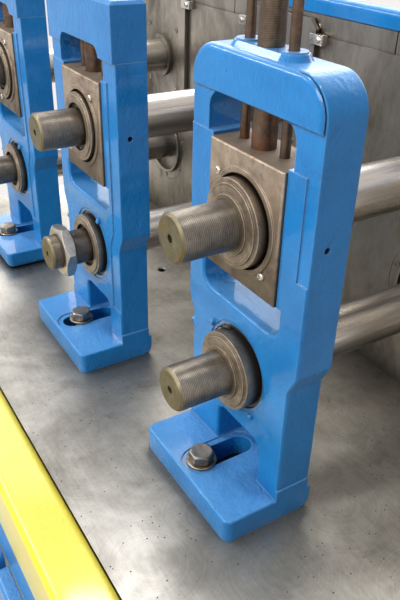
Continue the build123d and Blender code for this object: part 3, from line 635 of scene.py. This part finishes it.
for station in stations:
    for level in ("lower", "upper"):
        spindleNode = f"{level}_spindle_{station}"
        axisX, axisZ = axisOf(spindleNode)
        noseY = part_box(spindleNode)[0][1]
        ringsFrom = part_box(f"{level}_nut_{station}")[0][1] - noseY
        spans = [(thread["noseChamfer"], ringsFrom + thread["intoRings"][station])]
        if spindleNode == "lower_spindle_middle":
            nutFrom, nutTo = (corner[1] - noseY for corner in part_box("hex_nut_middle"))
            spans = [(spans[0][0], nutFrom - thread["nutGap"]), (nutTo + thread["nutGap"], spans[0][1])]
        bm = bmesh.new()
        for start, end in spans:
            threadSkin(bm, thread["noseRadius"], thread["noseRise"], start, end,
                       standAlong((axisX, noseY, axisZ), (0, 1, 0)), thread["noseSteps"])
        finishPiece(bm, f"noseThread_{level}_{station}", "noseSteel", spindleNode,
                    thread["sharp"])
    screwNode = f"adjusting_screw_{station}"
    screwX, screwY = middleOf(screwNode, 0), middleOf(screwNode, 1)
    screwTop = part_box(screwNode)[1][2] - thread["driveLength"]
    if f"stand_cap_{station}" in nodes:
        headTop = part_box(f"stand_cap_{station}")[1][2]
    else:
        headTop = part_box(f"stand_{station}")[1][2] - thread["headBoss"]
    bm = bmesh.new()
    threadSkin(bm, thread["screwRadius"], thread["screwRise"], headTop, screwTop,
               standAlong((screwX, screwY, 0), (0, 0, 1)), thread["screwSteps"])
    finishPiece(bm, f"screwThread_{station}", "screwThreadSteel", screwNode, thread["sharp"])
print("threads cut")

# Foot bolts: chamfered hexagon heads with a dished face, on washers, each shank running into the bed
footBolt = {"flats": 0.027, "head": 0.012, "crown": 0.94, "collar": 0.0003, "hexFrom": 0.0004,
            "dish": 0.0007, "dishRim": 0.86, "dishFloor": 0.7, "dishEase": 0.0001,
            "washer": 0.0185, "washerDepth": 0.0035, "washerGap": 0.0001, "washerEase": 0.0006,
            "washerChamfer": 0.0008, "shank": 0.009, "shankChamfer": 0.0015, "intoHead": 0.0002,
            "spins": [5.0, 15.0, -33.0], "headSteps": 72, "washerSteps": 64, "shankSteps": 40, "sharp": 25.0}
low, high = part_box("foot_bolts")
boltStep = (high[0] - low[0] - 2 * footBolt["washer"]) / 2
seat = high[2] - footBolt["head"] - footBolt["washerDepth"]
boltPieces = []
for index, station in enumerate(stations):
    centre = (low[0] + footBolt["washer"] + index * boltStep, (low[1] + high[1]) / 2, seat)
    upright = standAlong(centre, (0, 0, 1))
    shank, tip = footBolt["shank"], low[2] - seat
    rim, under, over = footBolt["washer"], footBolt["washerGap"], footBolt["washerDepth"]
    bm = bmesh.new()
    skinRows(bm, turnedRows([
        (shank, under), (rim - footBolt["washerEase"], under), (rim, under + footBolt["washerEase"]),
        (rim, over - footBolt["washerChamfer"]), (rim - footBolt["washerChamfer"], over - under),
        (shank, over - under)], footBolt["washerSteps"]), upright, closed=True)
    top, steps = over + footBolt["head"], footBolt["headSteps"]
    face = footBolt["flats"] / 2 * footBolt["crown"]
    foot, crown = hexRows(footBolt["flats"], over + footBolt["hexFrom"], top, footBolt["crown"], steps)
    skinRows(bm, turnedRows([(0, over), (face, over), (face, over + footBolt["collar"])], steps)
             + [foot, crown]
             + turnedRows([(face, top), (face * footBolt["dishRim"], top - footBolt["dishEase"]),
                           (face * footBolt["dishFloor"], top - footBolt["dish"]),
                           (0, top - footBolt["dish"])], steps),
             standAlong(centre, (0, 0, 1), math.radians(footBolt["spins"][index])))
    skinRows(bm, turnedRows([
        (0, tip), (shank - footBolt["shankChamfer"], tip), (shank, tip + footBolt["shankChamfer"]),
        (shank, over + footBolt["intoHead"]), (0, over + footBolt["intoHead"])],
        footBolt["shankSteps"]), upright)
    boltPieces.append(finishPiece(bm, f"footBolt_{station}", "boltSteel", "base",
                                  footBolt["sharp"]))
for bolt in boltPieces:
    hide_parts("foot_bolts")

# Hexagon nut on the middle lower spindle, chamfered on both faces
hexNut = {"flats": 0.070, "bore": 0.0252, "boreEase": 0.0012, "crown": 0.96, "spin": 20.0, "steps": 96,
          "sharp": 12.0}
low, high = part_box("hex_nut_middle")
nutX, nutZ = axisOf("hex_nut_middle")
thick, bore, ease = high[1] - low[1], hexNut["bore"], hexNut["boreEase"]
face = hexNut["flats"] / 2 * hexNut["crown"]
foot, crown = hexRows(hexNut["flats"], 0.0, thick, hexNut["crown"], hexNut["steps"])
bm = bmesh.new()
skinRows(bm, turnedRows([(bore, ease), (bore + ease, 0), (face, 0)], hexNut["steps"])
         + [foot, crown]
         + turnedRows([(face, thick), (bore + ease, thick), (bore, thick - ease)], hexNut["steps"]),
         standAlong((nutX, low[1], nutZ), (0, 1, 0), math.radians(hexNut["spin"])), closed=True)
nut = finishPiece(bm, "hexNut", "nutSteel", "lower_spindle_middle", hexNut["sharp"])
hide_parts("hex_nut_middle")
print("bolts and nut made")


# Small screws: a domed or flat head with a hexagon socket. Profiles are shares of the head's radius and
# height, and socketFloor is a share of its height
screwForms = {
    "domed": {"profile": [(0, 0.0), (1.0, 0.0), (1.0, 0.35), (0.93, 0.66), (0.74, 0.9), (0.56, 1.0)],
              "socketFloor": 0.3},
    "flat": {"profile": [(0, 0.0), (1.0, 0.0), (1.0, 0.7), (0.93, 1.0)], "socketFloor": 0.35},
}
screwSteps = 36


def screwHead(bm, screw, place, axis, spin=0.0):
    form, height = screwForms[screw["form"]], screw["height"]
    depth = height * form["socketFloor"]
    outside = [(screw["radius"] * r, height * h) for r, h in form["profile"]]
    socket = hexRows(screw["socket"], height, depth, 1.2, screwSteps)
    skinRows(bm, turnedRows(outside, screwSteps) + [*socket, circleRow(0, depth)],
             standAlong(place, axis, spin))


def screwCircle(bm, screw, angles, centre, axis=(0, -1, 0)):
    for angle in angles:
        turn = math.radians(angle)
        place = (centre[0] + screw["circle"] * math.cos(turn), centre[1],
                 centre[2] + screw["circle"] * math.sin(turn))
        screwHead(bm, screw, place, axis, turn)


# Screws round the bearing rings of the blocks (bright) and of the stands (painted over). A block's face lies
# behind the front of its ring by ring, and the stand's face behind that by standBack
blockScrews = {"form": "domed", "circle": 0.0585, "radius": 0.0046, "height": 0.0032, "socket": 0.0042,
               "angles": {"left": (62, 242), "middle": (52, 224), "right": (137, -47)}, "ring": 0.002}
standScrews = {"form": "domed", "circle": 0.0585, "radius": 0.00414, "height": 0.0048, "socket": 0.0021,
               "angles": {"left": (57, 237), "middle": (57, 237), "right": (145, -53)}, "standBack": 0.004}
for station in stations:
    axisX, upperZ = axisOf(f"upper_spindle_{station}")
    lowerZ = middleOf(f"lower_spindle_{station}", 2)
    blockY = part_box(f"sliding_block_{station}")[0][1] + blockScrews["ring"]
    bm = bmesh.new()
    screwCircle(bm, blockScrews, blockScrews["angles"][station], (axisX, blockY, upperZ))
    finishPiece(bm, f"blockScrews_{station}", "brightSteel", f"upper_block_{station}")
    bm = bmesh.new()
    standY = blockY + standScrews["standBack"]
    screwCircle(bm, standScrews, standScrews["angles"][station], (axisX, standY, lowerZ))
    finishPiece(bm, f"standScrews_{station}", "bluePaint", "base")

# Grease nipples on the stands' left sides, sideways of the lower spindle and inward of the stand's face
nipple = {"z": 1.027, "sideways": 0.0895, "inward": 0.0055, "steps": 28,
          "profile": [(0, -0.001), (0.0048, -0.001), (0.0048, 0.003), (0.003, 0.004), (0.003, 0.0075),
                      (0.0042, 0.0085), (0.0042, 0.0105), (0.0022, 0.0125), (0, 0.0128)]}
for station in stations:
    x = middleOf(f"lower_spindle_{station}", 0) - nipple["sideways"]
    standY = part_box(f"sliding_block_{station}")[0][1] + blockScrews["ring"] + standScrews["standBack"]
    bm = bmesh.new()
    skinRows(bm, turnedRows(nipple["profile"], nipple["steps"]),
             standAlong((x, standY + nipple["inward"], nipple["z"]), (-1, 0, 0)))
    finishPiece(bm, f"greaseNipple_{station}", "bluePaint", "base")

# Bent tabs of the lock washer behind the right lower nut
lockTabs = {"angles": (112, 138, 196), "width": 0.009, "inner": 0.0455, "outer": 0.0495, "thick": 0.0014,
            "back": 0.0035, "bend": 0.004, "bevel": 0.0004}
washerX, washerZ = axisOf("lower_spindle_right")
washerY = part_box("lower_nut_right")[1][1] - lockTabs["back"]
inner, outer, bend = lockTabs["inner"], lockTabs["outer"], lockTabs["bend"]
half, thick = lockTabs["width"] / 2, lockTabs["thick"]
tabSide = [(inner, 0), (outer, 0), (outer, -bend), (outer - thick, -bend), (outer - thick, -thick),
           (inner, -thick)]
bm = bmesh.new()
for angle in lockTabs["angles"]:
    turn = Matrix.Translation((washerX, washerY, washerZ)) @ Matrix.Rotation(-math.radians(angle), 4, "Y")
    joinOutlines(bm, *([turn @ Vector((x, y, z)) for x, y in tabSide] for z in (-half, half)))
easeEdges(bm, lockTabs["bevel"])
finishPiece(bm, "lockTabs", "boltSteel", "lower_spindle_right")

# Keepers at the edges of the inboard slides, each with one socket screw. A slide's plate stands out from the
# wall by plateProud
keeper = {"plateProud": 0.0073, "fromTop": 0.025, "tall": 0.014, "wide": 0.020, "lip": 0.009,
          "lipThick": 0.003, "gap": 0.0004, "bevel": 0.0012, "screwAt": 0.55, "screwSpin": 0.3}
keeperScrew = {"form": "domed", "radius": 0.0042, "height": 0.003, "socket": 0.005}
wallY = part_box("inboard_wall")[0][1]
plateY = wallY - keeper["plateProud"]
lipBack = plateY - keeper["gap"]
lipFront = lipBack - keeper["lipThick"]
for station in stations:
    low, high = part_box(f"inboard_slide_{station}")
    bottom = high[2] - keeper["fromTop"] - keeper["tall"] / 2
    bm = bmesh.new()
    for side, edgeX in ((1, high[0]), (-1, low[0])):
        inner, outer = edgeX + side * keeper["gap"], edgeX + side * keeper["wide"]
        lipX = edgeX - side * keeper["lip"]
        outline = [(inner, wallY), (outer, wallY), (outer, lipFront), (lipX, lipFront), (lipX, lipBack),
                   (inner, lipBack)]
        joinOutlines(bm, *([(x, y, z) for x, y in outline] for z in (bottom, bottom + keeper["tall"])))
    easeEdges(bm, keeper["bevel"])
    for side, edgeX in ((1, high[0]), (-1, low[0])):
        screwX = edgeX + side * keeper["wide"] * keeper["screwAt"]
        screwHead(bm, keeperScrew, (screwX, lipFront, high[2] - keeper["fromTop"]), (0, -1, 0),
                  keeper["screwSpin"])
    finishPiece(bm, f"slideKeepers_{station}", "brightSteel", "base")

# Screws that hold the inboard slides, the bearing caps and the wall's strips. The strips' screws lie on both
# sides of each seam, and the seams are beforeStation to the left of each station, and one pitch farther on
slideScrews = {"form": "flat", "reach": 0.053, "radius": 0.005, "height": 0.0012, "socket": 0.005}
capScrews = {"form": "flat", "circle": 0.069, "angles": (15, -37.5, -90, -142.5, -195), "radius": 0.0045,
             "height": 0.0012, "socket": 0.0045}
stripScrews = {"form": "flat", "beforeStation": 0.136, "fromSeam": 0.1507, "fromEnd": 0.01, "z": 1.3185,
               "radius": 0.004, "height": 0.001, "socket": 0.004, "spin": 9.0}
for station in stations:
    centreX, centreZ = axisOf(f"upper_spindle_{station}")
    bm = bmesh.new()
    for sx in (-1, 1):
        for sz in (-1, 1):
            place = (centreX + sx * slideScrews["reach"], plateY, centreZ + sz * slideScrews["reach"])
            screwHead(bm, slideScrews, place, (0, -1, 0), sx * 0.4 + sz)
    finishPiece(bm, f"slideScrews_{station}", "boltSteel", f"upper_block_{station}")
bm = bmesh.new()
for station in stations:
    centreX, centreZ = axisOf(f"lower_spindle_{station}")
    screwCircle(bm, capScrews, capScrews["angles"], (centreX, wallY, centreZ))
finishPiece(bm, "bearingCapScrews", "boltSteel", "base")
stripLow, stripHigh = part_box("wall_strips")
stationX = [middleOf(f"lower_spindle_{station}", 0) for station in stations]
stationX.append(2 * stationX[2] - stationX[1])
bm = bmesh.new()
for seamX in (x - stripScrews["beforeStation"] for x in stationX):
    for x in (seamX - stripScrews["fromSeam"], seamX + stripScrews["fromSeam"]):
        if stripLow[0] + stripScrews["fromEnd"] < x < stripHigh[0] - stripScrews["fromEnd"]:
            place = (x, stripLow[1], stripScrews["z"])
            screwHead(bm, stripScrews, place, (0, -1, 0), x * stripScrews["spin"])
finishPiece(bm, "stripScrews", "brightSteel", "base")

# Domed screws at the corners of the base covers and the case covers, their heads let in flush
coverScrews = {"form": "domed", "inset": 0.030, "radius": 0.006, "height": 0.0035, "socket": 0.005,
               "gap": 0.012, "caseCover": 0.300, "spins": (7, 3)}
inset = coverScrews["inset"]
for node, axis in (("front_covers", (0, -1, 0)), ("rear_covers", (0, 1, 0)), ("case_covers", (0, 1, 0))):
    low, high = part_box(node)
    y = (low[1] if axis[1] < 0 else high[1]) - axis[1] * coverScrews["height"]
    middle = (low[0] + high[0]) / 2
    if node == "case_covers":
        length = coverScrews["caseCover"]
        centres = [low[0] + length / 2, middle, high[0] - length / 2]
    else:
        length = (high[0] - low[0] - 2 * coverScrews["gap"]) / 3
        centres = [middle + i * (length + coverScrews["gap"]) for i in (-1, 0, 1)]
    bm = bmesh.new()
    for centre in centres:
        for sx in (-1, 1):
            for z in (low[2] + inset, high[2] - inset):
                spin = centre * coverScrews["spins"][0] + z * coverScrews["spins"][1]
                screwHead(bm, coverScrews, (centre + sx * (length / 2 - inset), y, z), axis, spin)
    finishPiece(bm, "screws_" + node, "boltSteel", "base")
print("small screws and fittings made")

# Floor, world, lamps and camera. The floor fades to the backdrop's colour for camera and glossy rays only
studio = {"floorSize": 14.0, "floorColour": (0.62, 0.60, 0.58), "floorTone": 1.08, "floorRough": 0.7,
          "fadeFrom": 1.6, "fadeTo": 4.5, "backColour": (0.93, 0.90, 0.89),
          "worldColour": (0.98, 0.98, 1.0), "worldStrength": 0.25}
bpy.ops.mesh.primitive_plane_add(size=studio["floorSize"], location=(0, 0, 0))
floor = bpy.context.object
floor.name = "studioFloor"
material, tree, shader, vectors = startMaterial("floorPaint")
tone = placeGroup(tree, smears, (-600, 0), vectors["Object"], Scale=0.8, Contrast=0.6)
paler = tinted(studio["floorColour"], studio["floorTone"])
link(tree, mixColour(tree, tone.outputs[0], studio["floorColour"], paler), shader.inputs["Base Color"])
shader.inputs["Roughness"].default_value = studio["floorRough"]
away = vectorMath(tree, "LENGTH", vectors["Object"], None, (-600, -500)).outputs["Value"]
fade = addNode(tree, "ShaderNodeMapRange", (-400, -500), interpolation_type="SMOOTHSTEP")
fade.inputs["From Min"].default_value = studio["fadeFrom"]
fade.inputs["From Max"].default_value = studio["fadeTo"]
link(tree, away, fade.inputs["Value"])
path = addNode(tree, "ShaderNodeLightPath", (-400, -300))
seen = combine(tree, "MAXIMUM", path.outputs["Is Camera Ray"], path.outputs["Is Glossy Ray"], (-200, -300))
plainGlow = addNode(tree, "ShaderNodeEmission", (900, -400), Strength=1.0)
plainGlow.inputs["Color"].default_value = (*studio["backColour"], 1)
blended = addNode(tree, "ShaderNodeMixShader", (1200, 0))
link(tree, combine(tree, "MULTIPLY", fade.outputs[0], seen, (0, -400)), blended.inputs[0])
link(tree, shader.outputs[0], blended.inputs[1])
link(tree, plainGlow.outputs[0], blended.inputs[2])
link(tree, blended.outputs[0], tree.nodes["Material Output"].inputs["Surface"])
floor.data.materials.append(material)

world = bpy.data.worlds.new("studioWorld")
scene.world = world
world.use_nodes = True
tree = world.node_tree
tree.nodes.clear()
path = addNode(tree, "ShaderNodeLightPath", (-600, 300))
seen = combine(tree, "MAXIMUM", path.outputs["Is Camera Ray"], path.outputs["Is Glossy Ray"], (-400, 300))
seen = combine(tree, "MAXIMUM", seen, path.outputs["Is Transmission Ray"], (-200, 300))
lit = addNode(tree, "ShaderNodeBackground", (0, 0), Strength=studio["worldStrength"])
lit.inputs["Color"].default_value = (*studio["worldColour"], 1)
shown = addNode(tree, "ShaderNodeBackground", (0, 200), Strength=1.0)
shown.inputs["Color"].default_value = (*studio["backColour"], 1)
pick = addNode(tree, "ShaderNodeMixShader", (250, 100))
link(tree, seen, pick.inputs[0])
link(tree, lit.outputs[0], pick.inputs[1])
link(tree, shown.outputs[0], pick.inputs[2])
link(tree, pick.outputs[0], addNode(tree, "ShaderNodeOutputWorld", (500, 100)).inputs[0])

lamps = {
    "keyLamp": {"place": (0.9, -3.7, 3.3), "aim": (0.0, 0.0, 1.0), "size": (2.4, 1.2), "power": 122.0},
    "skyLamp": {"place": (-3.0, 1.9, 3.4), "aim": (0.0, 0.0, 1.1), "size": (3.5, 2.5), "power": 112.0},
    "stripLampA": {"place": (-1.2, 0.9, 3.9), "aim": (0.2, -0.1, 0.9), "size": (1.6, 0.14), "power": 30.0},
    "stripLampB": {"place": (-1.9, -1.8, 2.7), "aim": (0.1, -0.1, 0.95), "size": (1.5, 0.25), "power": 34.0},
    "spotLampA": {"place": (-0.9, -1.6, 3.4), "aim": (0.2, -0.1, 0.9), "size": (0.2, 0.2), "power": 20.0},
    "spotLampB": {"place": (0.9, 0.2, 3.7), "aim": (0.2, -0.1, 0.9), "size": (0.2, 0.2), "power": 14.0},
    "rearLamp": {"place": (-0.6, 3.9, 3.0), "aim": (0.0, 0.0, 1.0), "size": (2.6, 1.4), "power": 95.0},
}
for name, values in lamps.items():
    lamp = bpy.data.lights.new(name, "AREA")
    lamp.shape = "RECTANGLE"
    lamp.size, lamp.size_y = values["size"]
    lamp.energy = values["power"]
    holder = bpy.data.objects.new(name, lamp)
    holder.location = values["place"]
    towards = Vector(values["aim"]) - Vector(values["place"])
    holder.rotation_euler = towards.to_track_quat("-Z", "Y").to_euler()
    scene.collection.objects.link(holder)

view = {"place": (0.8727, -0.4836, 1.4823), "yaw": 57.8, "pitch": -31.0, "roll": 1.5, "lens": 41.04,
        "sensor": 36.0, "clipStart": 0.05}
yaw, pitch, roll = (math.radians(view[key]) for key in ("yaw", "pitch", "roll"))
ahead = Vector((-math.sin(yaw) * math.cos(pitch), math.cos(yaw) * math.cos(pitch), math.sin(pitch)))
right = ahead.cross(Vector((0, 0, 1))).normalized()
up = right.cross(ahead)
rightRolled = math.cos(roll) * right + math.sin(roll) * up
upRolled = math.cos(roll) * up - math.sin(roll) * right
camera = bpy.data.cameras.new("photoCamera")
camera.sensor_fit = "VERTICAL"
camera.sensor_height = view["sensor"]
camera.lens = view["lens"]
camera.clip_start = view["clipStart"]
eye = bpy.data.objects.new("photoCamera", camera)
turn = Matrix((rightRolled, upRolled, -ahead)).transposed().to_4x4()
eye.matrix_world = Matrix.Translation(view["place"]) @ turn
scene.collection.objects.link(eye)
scene.camera = eye
scene.view_settings.view_transform = "Standard"
print("camera and lamps ready")
